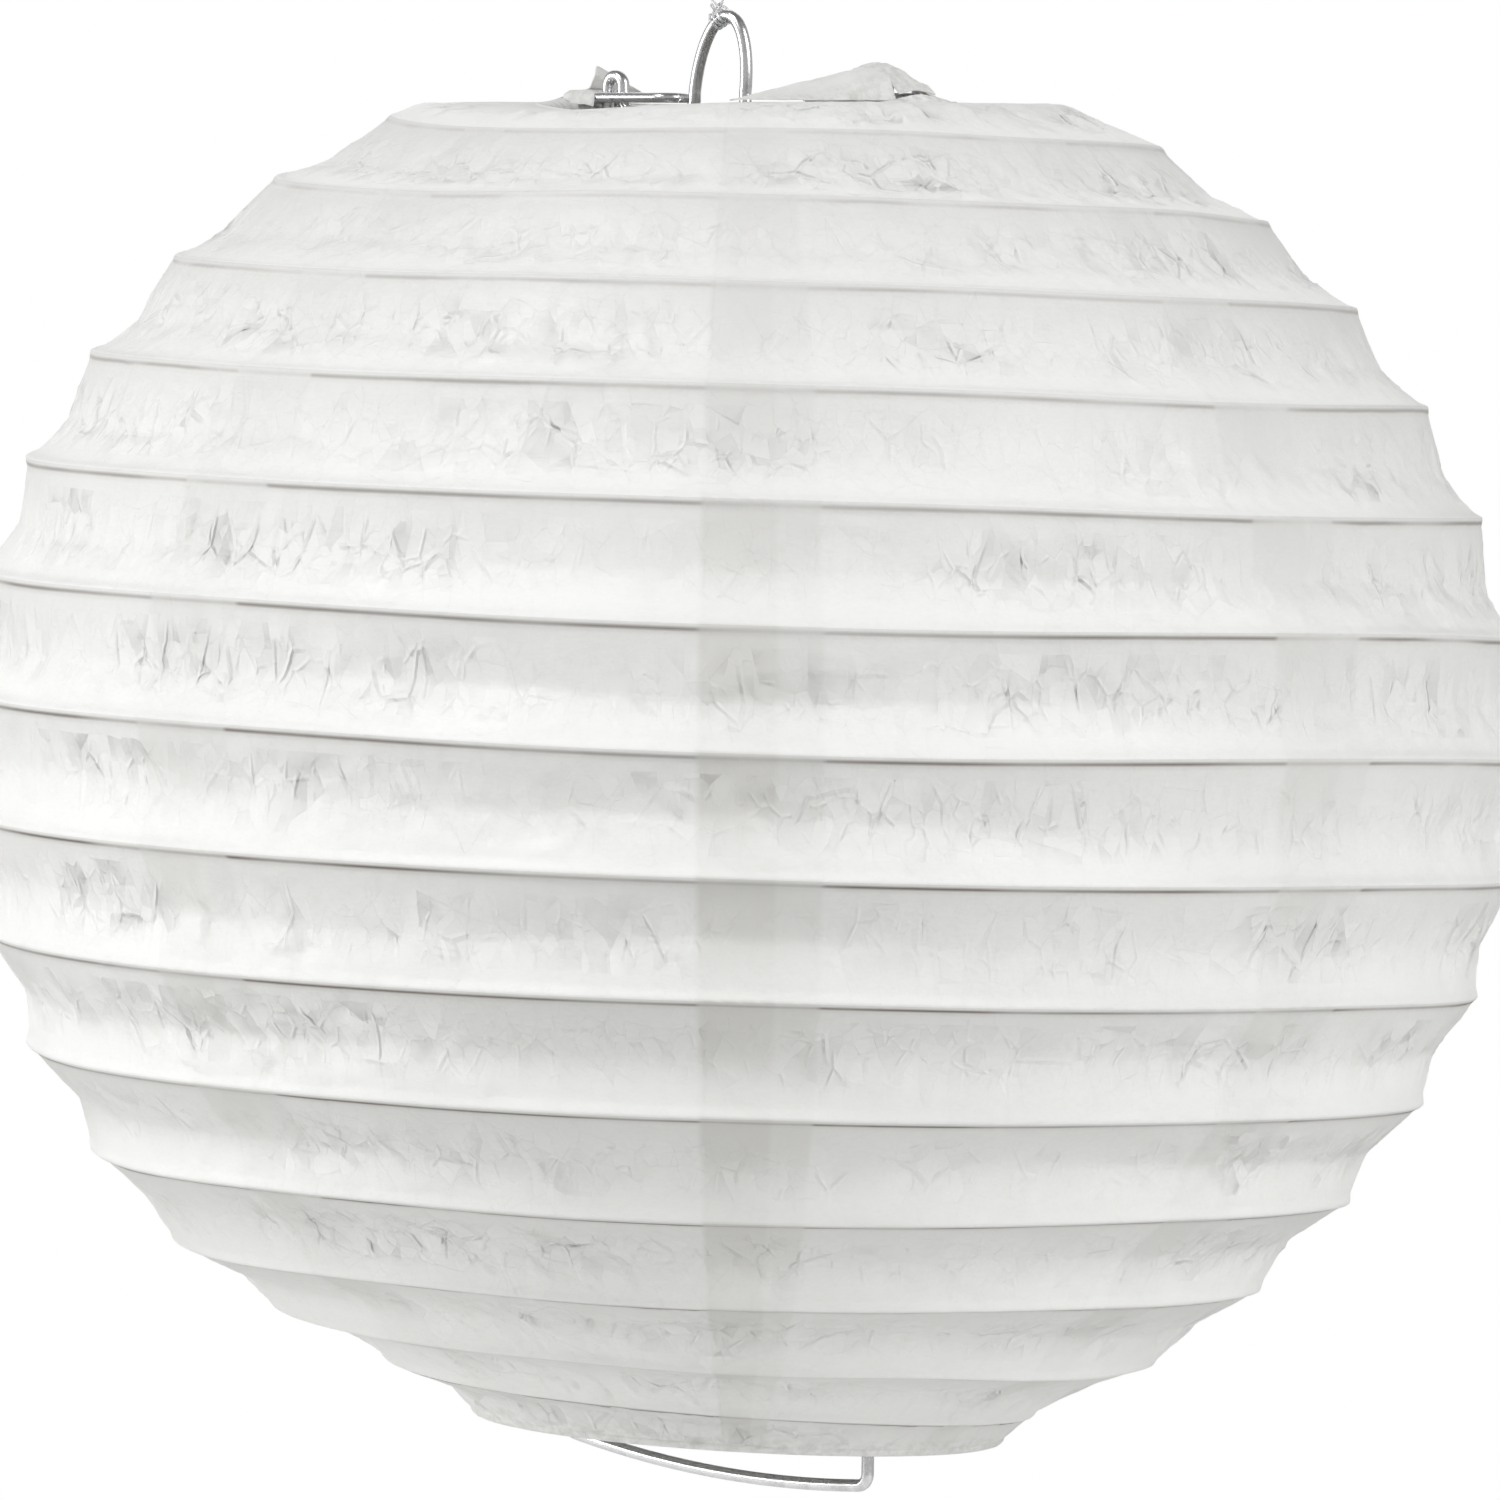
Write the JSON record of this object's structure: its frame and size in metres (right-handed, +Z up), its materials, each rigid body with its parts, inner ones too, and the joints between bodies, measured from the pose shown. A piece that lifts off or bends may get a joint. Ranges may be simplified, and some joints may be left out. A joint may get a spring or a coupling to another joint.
{
  "type": "paper lantern",
  "caption": "Round white paper lantern: paper gores over one spiral wire rib, held open and hung by a bent wire expander.",
  "frame": {"origin": "hang point: the underside of the expander's arch at its apex, where a hook or thread bears. The globe's upright axis is 3.4 mm to the +X side of it.", "axes": "+Z up, out of the hang point; the expander's flat wire loop lies in the XZ plane, with the arch on its -X side of the globe's axis"},
  "size_m": [0.1997, 0.1997, 0.1916],
  "materials": {
    "paper": "matte translucent white paper",
    "frame_wire": "satin steel wire",
    "bright_wire": "bright zinc-plated wire",
    "thread": "clear nylon thread"
  },
  "bodies": {
    "expander": {"expander_wire": "bright_wire", "thread_tie": "thread"},
    "globe": {"top_ring": "frame_wire", "rib_spiral": "frame_wire", "paper_gore_1": "paper", "paper_gore_2": "paper", "paper_gore_3": "paper", "paper_gore_4": "paper", "paper_gore_5": "paper", "paper_gore_6": "paper", "paper_gore_7": "paper", "paper_gore_8": "paper"},
    "lower_ring": {"bottom_ring": "frame_wire"},
    "left_ear": {"ear_left": "bright_wire"},
    "right_ear": {"ear_right": "bright_wire"}
  },
  "joints": [
    {"name": "globe_lift", "type": "slide", "parent": "expander", "child": "globe", "axis": [0, 0, 1], "range_m": [0, 0.195]},
    {"name": "globe_fold", "type": "slide", "parent": "globe", "child": "lower_ring", "axis": [0, 0, 1], "range_m": [0, 0.146], "deforming": ["paper_gore_1", "paper_gore_2", "paper_gore_3", "paper_gore_4", "paper_gore_5", "paper_gore_6", "paper_gore_7", "paper_gore_8", "rib_spiral"]},
    {"name": "ear_left_swing", "type": "hinge", "parent": "globe", "child": "left_ear", "pos_m": [-0.0234, 0, -0.0114], "axis": [0, -1, 0], "range_deg": [0, 90]},
    {"name": "ear_right_swing", "type": "hinge", "parent": "globe", "child": "right_ear", "pos_m": [0.0302, 0, -0.0114], "axis": [0, 1, 0], "range_deg": [0, 90]}
  ]
}
